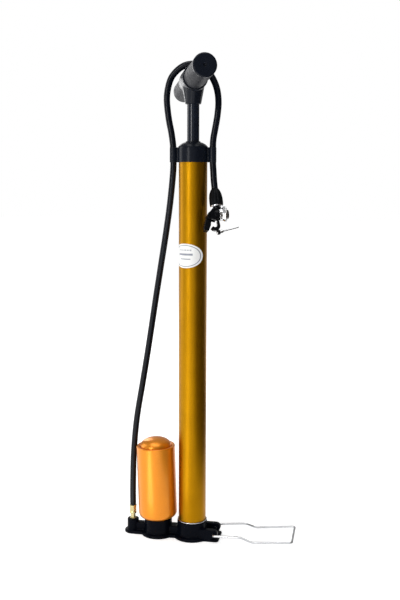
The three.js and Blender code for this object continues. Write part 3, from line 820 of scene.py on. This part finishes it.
HEAD_SHAPES = {
    "head_boot": head_boot,
    "head_ring": head_ring,
    "head_body": head_body,
    "head_collar": head_collar,
    "head_grommet": head_grommet,
    "head_plunger": head_plunger,
    "head_lever": head_lever,
    "lever_pin": lever_pin,
    "needle_holder": needle_holder,
    "ball_needle": ball_needle,
}


def build_head_piece(node):
    return stand_for(node, HEAD_SHAPES[node](), HEAD)


# ---- Base casting ----
FLANGE = 4
COLLAR_TOP = 22.5
SOCKET_TOP = 18
SOCKET_FLOOR = 9
BARREL_LOBE_R, CHAMBER_LOBE_R, HOSE_LOBE_R = 24.5, 22.5, 11
BARREL_COLLAR_R, CHAMBER_COLLAR_R, SOCKET_R = 19.3, 17.8, 7.5


def base_casting():
    """Three round lobes with a collar on each, two bridges, a tongue and the stirrup's lugs."""
    def lobe(radius, x):
        rim = FLANGE - 1.2
        profile = [(0, 0), (radius, 0, 0.5), (radius, rim, 1.0), (radius - 1.4, FLANGE), (0, FLANGE)]
        return moved(lathe(profile, 0.6), shifted(x, 0, 0))

    def tapered(radius, x, top):
        profile = [(0, 1), (radius + 0.25, 1, 0), (radius, 8, 0), (radius, top, 0.5), (0, top)]
        return moved(lathe(profile, 0.5, 128), shifted(x, 0, 0))

    tongue = prism([
        (0, -17), *arc(33, -13, 4, -90, 0, 8), *arc(33, 13, 4, 0, 90, 8), (0, 17),
    ], 0, FLANGE - 1.5, 0, 0.5)
    ear = [(10, 2), (22, 2), *arc(LUG_X, LUG_Z, LUG_R, -90, 90, 24), (10, LUG_Z + LUG_R)]
    lugs = [prism_y(ear, low, high, 0, 0.5) for low, high in ((-16, -8), (8, 16))]
    body = join(
        lobe(BARREL_LOBE_R, 0), lobe(CHAMBER_LOBE_R, CHAMBER_X), lobe(HOSE_LOBE_R, HOSE_X),
        tongue, *lugs,
        block(CHAMBER_X, 0, -14, 14, 0, FLANGE, 0, 0.5),
        block(HOSE_X, CHAMBER_X, -HOSE_LOBE_R, HOSE_LOBE_R, 0, FLANGE, 0, 0.5),
        tapered(BARREL_COLLAR_R, 0, COLLAR_TOP), tapered(CHAMBER_COLLAR_R, CHAMBER_X, COLLAR_TOP),
        tapered(SOCKET_R, HOSE_X, SOCKET_TOP),
        block(CHAMBER_X, 0, -8, 8, 1, 13.2, 0, 1.6),
        block(HOSE_X, CHAMBER_X, -5, 5, 1, 14, 0, 1.6),
    )
    clear = 40
    return cut(
        moulded(body, 0.5, 7),
        rod(BARREL_R + GAP, SOCKET_FLOOR, clear, 0, 128),
        moved(rod(10.7, SOCKET_FLOOR + 1, clear, 0), VALVE),
        moved(rod(4.8, SOCKET_FLOOR - 2, 14, 0), VALVE),
        moved(rod(4.4, SOCKET_FLOOR - 1, clear, 0), SOCKET),
        moved(along_y(rod(WIRE_R + GAP, -30, 30, 0, 32)), shifted(LUG_X, 0, LUG_Z)),
    )


# ---- Barrel, label and cap ----
BARREL_R = 17.5
BARREL_TOP = 488
CAP_R = 18.6
CAP_FOOT = 479.5
CAP_SHOULDER = 497.6
CAP_TOP = 504
CLIP_X = 24.5


def barrel_label():
    """A thin oval film wrapped on the barrel. The place attribute runs from -1 to 1 both ways."""
    half_angle, half_height, middle, facing = math.radians(76), 15, 366, math.radians(-22)
    rings, spokes = 24, 96
    points, places = [], []
    for radius in (BARREL_R + 0.4, BARREL_R + 0.15):
        for r in range(rings + 1):
            for s in range(spokes):
                turn = math.tau * s / spokes
                across, up = r / rings * math.cos(turn), r / rings * math.sin(turn)
                angle = across * half_angle + facing
                height = middle + half_height * up
                points.append((radius * math.sin(angle), -radius * math.cos(angle), height))
                places.append((across, up, 0))
    skin = (rings + 1) * spokes
    faces = []
    for r in range(rings):
        for s in range(spokes):
            t = (s + 1) % spokes
            quad = [r * spokes + s, r * spokes + t, (r + 1) * spokes + t, (r + 1) * spokes + s]
            faces += [quad, [skin + i for i in reversed(quad)]]
    rim = rings * spokes
    for s in range(spokes):
        t = (s + 1) % spokes
        faces.append([rim + s, rim + t, skin + rim + t, skin + rim + s])
    mesh = bpy.data.meshes.new("shape")
    mesh.from_pydata(points, [], faces)
    spot = mesh.attributes.new("place", "FLOAT_VECTOR", "POINT")
    spot.data.foreach_set("vector", [x for place in places for x in place])
    shape = bmesh.new()
    shape.from_mesh(mesh)
    bmesh.ops.remove_doubles(shape, verts=shape.verts, dist=1e-4)
    bmesh.ops.recalc_face_normals(shape, faces=shape.faces)
    shape.to_mesh(mesh)
    shape.free()
    return mesh


def top_cap():
    """A cap with the rod's guide in its middle and an open clip for the hose on each side."""
    dome = lathe([
        (BARREL_R + GAP, CAP_FOOT), (CAP_R, CAP_FOOT), (CAP_R, CAP_SHOULDER - 1, 0.8),
        (18, CAP_SHOULDER + 0.8, 0.8), (15.8, CAP_SHOULDER + 3.2, 2), (12, CAP_TOP - 1, 3),
        (9.4, CAP_TOP - 0.3), (9.4, BARREL_TOP + 2.5), (14, BARREL_TOP + 2.5), (14, BARREL_TOP + GAP),
        (BARREL_R + GAP, BARREL_TOP + GAP),
    ], 0.25, 160)
    clip_outline = [*arc(0, 0, 6, 50, 310, 40), *arc(0, 0, HOSE_R + GAP, 310, 50, 40)]
    clip = prism(clip_outline, CAP_FOOT, CAP_SHOULDER, 0, 0.25, 2)
    web = block(CAP_R - 0.7, CLIP_X - 4.7, -3.5, 3.5, CAP_FOOT, CAP_SHOULDER, 0, 0.25)
    right = join(moved(clip, shifted(CLIP_X, 0, 0)), web)
    left = moved(right.copy(), turned(180, "Z"))
    return moulded(join(dome, right, left), 0.28, 4)


def build_barrel():
    stand_for("base_casting", base_casting())
    stand_for("barrel_foot_ring", ring(19, BARREL_R + GAP, COLLAR_TOP + GAP, COLLAR_TOP + 1.5, 0.5, 160))
    stand_for("barrel_gasket", ring(17.4, 14.5, SOCKET_FLOOR + GAP, 10.3))
    stand_for("barrel_tube", ring(BARREL_R, 16, 10.6, BARREL_TOP, 0.3, 256))
    stand_for("barrel_label", barrel_label())
    stand_for("top_cap", top_cap())
    inner = 7.8
    stand_for("rod_guide_bush", lathe([
        (inner, BARREL_TOP + 0.6), (13, BARREL_TOP + 0.6), (13, BARREL_TOP + 2.1), (9.1, BARREL_TOP + 2.1),
        (9.1, CAP_TOP + 0.8, 0.4), (inner, CAP_TOP + 0.8, 0.3),
    ], 0.2))


# ---- Piston ----
ROD_FOOT = 40
STUD_R = 4


def build_piston():
    hole = STUD_R + GAP
    stand_for("piston_plate", ring(14.5, hole, 30, ROD_FOOT - GAP, 0.8))
    stand_for("piston_cup", lathe([
        (hole, 26.7), (13.2, 26.7, 0.8), (13.2, 18, 0.2), (15.6, 18, 0.2), (15.6, 27.5, 1.5),
        (13.6, 29.7, 1.5), (hole, 29.7),
    ], 0.3, 160))
    stand_for("piston_washer", ring(12, hole, 24.4, 26.4, 0.4))
    nut = cut(prism(hexagon(7.5, 0), 18.5, 24.1, 0.3, 0.5), rod(hole, 17, 26, 0))
    stand_for("piston_nut", nut)
    stand_for("piston_stud", lathe([
        (0, 15), (STUD_R, 15, 0.6), (STUD_R, ROD_FOOT + GAP, 0.2), (5.9, ROD_FOOT + GAP),
        (5.9, ROD_FOOT + 22, 0.6), (0, ROD_FOOT + 22),
    ], 0.3))


# ---- Handle ----
HANDLE_HALF = 105
SLEEVE_HALF = 22
GRIP_END = HANDLE_HALF - 4
HANDLE_PIN_Z = -20
CORE_R = 8
GRIP_R = 13.6
SIDES = {"near": 90, "far": -90}


def handle_boss():
    bottom, top = 549 - HANDLE_Z, -5
    throat = lathe([(0, bottom), (9.6, bottom, 0.8), (14, top, 0), (0, top)], 0.5, 128)
    for vertex in throat.vertices:
        share = (vertex.co.z - bottom) / (top - bottom)
        vertex.co.y *= 1 + 0.6 * share
    tilt = turned(HANDLE_TILT, "X")
    sleeve = moved(along_y(rod(15.4, -SLEEVE_HALF, SLEEVE_HALF, 0.9, 160)), tilt)
    body = moulded(join(throat, sleeve), 0.42, 6)
    return cut(
        body,
        moved(along_y(rod(CORE_R + GAP, -SLEEVE_HALF - 2, SLEEVE_HALF + 2, 0, 96)), tilt),
        rod(7.8, bottom - 1, 0, 0, 96),
        moved(along_x(rod(2, -20, 20, 0)), shifted(0, 0, HANDLE_PIN_Z)),
    )


def grip():
    start, end = SLEEVE_HALF + GAP, GRIP_END - GAP
    return lathe([
        (CORE_R + GAP, start), (GRIP_R - 0.8, start, 0.4), (GRIP_R, start + 1, 0.8), (GRIP_R, end, 0.5),
        (CORE_R + GAP, end),
    ], 0.3, 160)


def end_cap():
    start, plug = GRIP_END, CORE_R - 1.8
    return lathe([
        (0, start - 14), (plug, start - 14, 0.8), (plug, start, 0.2), (GRIP_R, start, 0.3),
        (GRIP_R, HANDLE_HALF - 1.2, 1.0), (GRIP_R - 1.4, HANDLE_HALF, 1.0), (3.0, HANDLE_HALF - 0.35, 0.5),
        (1.7, HANDLE_HALF - 0.5, 0.5), (1.7, HANDLE_HALF - 2.5, 0.5), (0, HANDLE_HALF - 2.5),
    ], 0.3, 160)


def build_handle():
    tube_walls = ring(7.5, 6.2, ROD_FOOT, 568, 0.25, 128)
    pin_hole = moved(along_x(rod(2, -20, 20, 0)), shifted(0, 0, HANDLE_Z + HANDLE_PIN_Z))
    stand_for("pump_rod", cut(tube_walls, pin_hole), TURNED)
    stand_for("handle_boss", handle_boss(), CROSS)
    stand_for("handle_pin", moved(along_x(rod(1.7, -11, 11, 0.4)), shifted(0, 0, HANDLE_PIN_Z)), CROSS)
    core_half = GRIP_END - GAP
    stand_for("handle_core", along_y(ring(CORE_R, CORE_R - 1.5, -core_half, core_half)), BAR)
    for side, quarter in SIDES.items():
        stand_for(f"grip_{side}", moved(grip(), turned(quarter, "X")), BAR)
        stand_for(f"end_cap_{side}", moved(end_cap(), turned(quarter, "X")), BAR)


# ---- Air chamber and check valve ----
CHAMBER_R = 24.8
CHAMBER_RIM = 119
LID_R = 20.2
LID_APEX = 129.3


def chamber_shell():
    neck, neck_bore, inner = 10, 8.2, CHAMBER_R - 1.6
    return lathe([
        (neck_bore, 10.8), (neck, 10.8), (neck, COLLAR_TOP + 0.9), (17.4, COLLAR_TOP + 0.9, 1.5),
        *arc(CHAMBER_R - 7, COLLAR_TOP + 7.9, 7, -60, 0, 14), (CHAMBER_R, CHAMBER_RIM - 0.8, 0.7),
        (CHAMBER_R - 0.8, CHAMBER_RIM, 0.7), (LID_R + 1.3, CHAMBER_RIM, 0.6), (LID_R + GAP, CHAMBER_RIM - 1),
        (LID_R + GAP, CHAMBER_RIM - 9), (16, CHAMBER_RIM - 9), (16, CHAMBER_RIM - 11),
        (inner, CHAMBER_RIM - 14), (inner, 32, 4), (16.5, COLLAR_TOP + 2.5, 4), (neck_bore, COLLAR_TOP + 2.5),
    ], 0.4, 192)


def chamber_lid():
    shoulder = CHAMBER_RIM - 0.6
    height = LID_APEX - shoulder
    dome = [(x, shoulder + z * height / LID_R, 0) for x, z, _ in arc(0, 0, LID_R, 0, 90, 48)[1:]]
    dome[-1] = (0, LID_APEX, 0)
    return lathe([
        (0, CHAMBER_RIM - 6), (LID_R, CHAMBER_RIM - 6), (LID_R, shoulder, 0), *dome,
    ], 0.3, 192)


def build_chamber():
    stand_for("chamber_shell", chamber_shell(), CHAMBER)
    stand_for("chamber_lid", chamber_lid(), CHAMBER)
    stand_for("chamber_seal", ring(LID_R - 0.1, 16.5, CHAMBER_RIM - 8.7, CHAMBER_RIM - 6.3, 0.8), CHAMBER)
    seat_top = SOCKET_FLOOR + 1
    stand_for("valve_seat", ring(4.5, 2.2, SOCKET_FLOOR - 1.7, seat_top, 0.3, 64), VALVE)
    stand_for("valve_cage", lathe([
        (3.5, seat_top + GAP), (4.7, seat_top + GAP), (4.7, seat_top + 8), (1.5, seat_top + 8),
        (1.5, seat_top + 7), (3.5, seat_top + 7),
    ], 0.2, 64), VALVE)
    ball = lathe([(0, -3, 0), *arc(0, 0, 3, -88, 88, 40), (0, 3, 0)], 0, 64)
    stand_for("valve_ball", moved(ball, shifted(0, 0, seat_top + 2.3)), VALVE)


# ---- Hose fitting ----
def hose_nipple():
    """A hexagon on a screwed stub, with a barb that the hose is pushed on to."""
    stub = lathe([
        (0, SOCKET_FLOOR), (4.1, SOCKET_FLOOR), (4.1, 19), (3.1, 19), (3.1, 27), (2.9, 29), (3.1, 29.2),
        (2.9, 32), (3.1, 32.2), (2.6, FERRULE_TOP - 0.6), (1.4, FERRULE_TOP - 0.6), (1.4, SOCKET_FLOOR + 1),
        (0, SOCKET_FLOOR + 1),
    ], 0.15, 64)
    flats = prism(hexagon(5.2, 10), SOCKET_TOP + GAP, 24.7, 0.15, 0.35)
    return join(stub, cut(flats, rod(2, 10, 30, 0)))


def hose_ferrule():
    """A brass sleeve, crimped on to the hose in two rows of flats."""
    def crimped(r, z, angle):
        if r < 4 or not 27.2 < z < 34.2:
            return r
        return r - 0.32 * abs(math.cos(4 * angle)) ** 3

    return lathe([
        (3.4, 25), (4.6, 25), (4.6, 27, 0.2), (4.35, 27.8, 0.2), (4.35, 29, 0.1), (4.35, 31, 0.1),
        (4.35, 33.2, 0.2), (4.6, 34, 0.2), (4.6, FERRULE_TOP, 0.35), (4.05, FERRULE_TOP, 0.15),
        (4.05, FERRULE_TOP - 2, 0), (3.4, FERRULE_TOP - 2, 0),
    ], 0.25, 128, crimped)


def build_hose_fitting():
    stand_for("hose_nipple", hose_nipple(), SOCKET)
    stand_for("hose_ferrule", hose_ferrule(), SOCKET)


# ---- Folding stirrup ----
WIRE_R = 1.5
BEND_STEPS = 8


def rounded_path(points, reach):
    """Straight runs between points, with each corner rounded off."""
    spots = [Vector(p) for p in points]
    made = [spots[0]]
    for before, corner, after in zip(spots, spots[1:], spots[2:]):
        start = corner + (before - corner).normalized() * reach
        end = corner + (after - corner).normalized() * reach
        for k in range(BEND_STEPS + 1):
            t = k / BEND_STEPS
            made.append(start * (1 - t) ** 2 + corner * (2 * t * (1 - t)) + end * t**2)
    return [*made, spots[-1]]


def build_stirrup():
    side = [(0, 9, 0), (0, 19.6, 0), (37, 22.8, -1.2), (50, 24.2, -7.4), (101, 26, -7.6)]
    near = [(x, -y, z) for x, y, z in side]
    stand_for("foot_stirrup", tube(rounded_path([*near, *side[::-1]], 4), WIRE_R, 20), STIRRUP)


# ---- Studio ----
def mix_world():
    """White behind the object. What lights it is pale on the left and behind, and dim on the right."""
    world = bpy.data.worlds.new("studio")
    bpy.context.scene.world = world
    world.use_nodes = True
    tree = world.node_tree
    tree.nodes.clear()
    output = tree.nodes.new("ShaderNodeOutputWorld")
    seen, light = (tree.nodes.new("ShaderNodeBackground") for _ in range(2))
    seen.inputs["Color"].default_value = (1, 1, 1, 1)
    choose = tree.nodes.new("ShaderNodeMixShader")
    ray = tree.nodes.new("ShaderNodeLightPath")
    where = tree.nodes.new("ShaderNodeTexCoord")
    dim = tree.nodes.new("ShaderNodeVectorMath")
    dim.operation = "DOT_PRODUCT"
    azimuth = math.radians(88)
    dim.inputs[1].default_value = (math.sin(azimuth), -math.cos(azimuth), -0.1)
    ramp = tree.nodes.new("ShaderNodeMapRange")
    ramp.interpolation_type = "SMOOTHSTEP"
    for key, value in (("From Min", 0.12), ("From Max", 0.72), ("To Min", 0.48), ("To Max", 0.09)):
        ramp.inputs[key].default_value = value
    tree.links.new(where.outputs["Generated"], dim.inputs[0])
    tree.links.new(dim.outputs["Value"], ramp.inputs["Value"])
    tree.links.new(ramp.outputs[0], light.inputs["Strength"])
    tree.links.new(ray.outputs["Is Camera Ray"], choose.inputs["Fac"])
    tree.links.new(light.outputs[0], choose.inputs[1])
    tree.links.new(seen.outputs[0], choose.inputs[2])
    tree.links.new(choose.outputs[0], output.inputs["Surface"])


LIGHT_AIM = Vector((0, 0, 0.28))


def softbox(name, azimuth, distance, height, width, tall, power):
    """An area light at an azimuth in degrees from -Y, positive towards +X."""
    light = bpy.data.lights.new(name, "AREA")
    light.shape = "RECTANGLE"
    light.size, light.size_y = width, tall
    light.energy = power
    lamp = bpy.data.objects.new(name, light)
    angle = math.radians(azimuth)
    lamp.location = (distance * math.sin(angle), -distance * math.cos(angle), height)
    lamp.rotation_mode = "QUATERNION"
    lamp.rotation_quaternion = (lamp.location - LIGHT_AIM).to_track_quat("Z", "Y")
    lamp.visible_camera = False
    bpy.context.scene.collection.objects.link(lamp)


def make_floor():
    s = Surface("pale_floor")
    tone = s.noise(3, 4)
    s.set(
        Base_Color=s.blend(tone, (0.86, 0.86, 0.86), (0.90, 0.90, 0.90)),
        Roughness=0.75, Specular_IOR_Level=0.2,
    )
    away = s.node("VectorMath", {0: s.where}, operation="LENGTH").outputs["Value"]
    s.set(Emission_Color=(1, 1, 1, 1), Emission_Strength=s.remap(away, 0.3, 1.6, 0.50, 0.75))
    half, depth = 9.0, 0.02
    corners = [(-half, -half), (half, -half), (half, half), (-half, half)]
    floor = bpy.data.objects.new("floor", prism(corners, -depth, 0, 0, 0))
    floor.data.materials.append(s.material)
    bpy.context.scene.collection.objects.link(floor)


def only_in_reflections(item):
    bpy.context.scene.collection.objects.link(item)
    item.visible_camera = False
    item.visible_diffuse = False
    item.visible_shadow = False


def make_flags():
    """Dark cards on the right, one upright and one flat, which only reflections see."""
    s = Surface("dark_card")
    s.set(Base_Color=s.blend(s.noise(4, 3), (0.052, 0.044, 0.034), (0.074, 0.062, 0.050)), Roughness=0.9)
    cards = (("upright_flag", 0.60, 0.001, 1.4), ("flat_flag", 0.22, 0.0002, 0.0006))
    for name, inner, low, high in cards:
        flag = bpy.data.objects.new(name, block(inner, 0.62, -0.95, 0.62, low, high, 0, 0))
        flag.data.materials.append(s.material)
        only_in_reflections(flag)


def make_strip():
    """A bright strip flat on the floor at the front left, which only reflections see."""
    s = Surface("bright_strip")
    s.set(
        Base_Color=s.blend(s.noise(4, 3), (0.80, 0.80, 0.78), (0.86, 0.86, 0.84)), Roughness=0.9,
        Emission_Color=(1, 0.98, 0.94, 1), Emission_Strength=3.0,
    )
    strip = bpy.data.objects.new("strip", block(-0.05, 0.05, -1.05, -0.14, 0.0002, 0.0006, 0, 0))
    strip.data.materials.append(s.material)
    strip.location = (CHAMBER_X * MM, 0, 0)
    strip.rotation_euler.z = math.radians(-26)
    only_in_reflections(strip)


def make_studio():
    mix_world()
    make_flags()
    make_strip()
    softbox("key", -25, 2.3, 0.95, 0.34, 1.8, 17)
    softbox("left_fill", -95, 2.0, 0.8, 0.9, 1.6, 9)
    softbox("rear_left", -142, 1.7, 0.9, 0.8, 1.1, 7)
    softbox("overhead", -10, 0.4, 2.3, 1.8, 1.8, 20)
    make_floor()
    bpy.context.scene.view_settings.view_transform = "Standard"


build_hose()
build_barrel()
build_piston()
build_handle()
build_chamber()
build_hose_fitting()
build_stirrup()
make_studio()

bpy.context.view_layer.update()
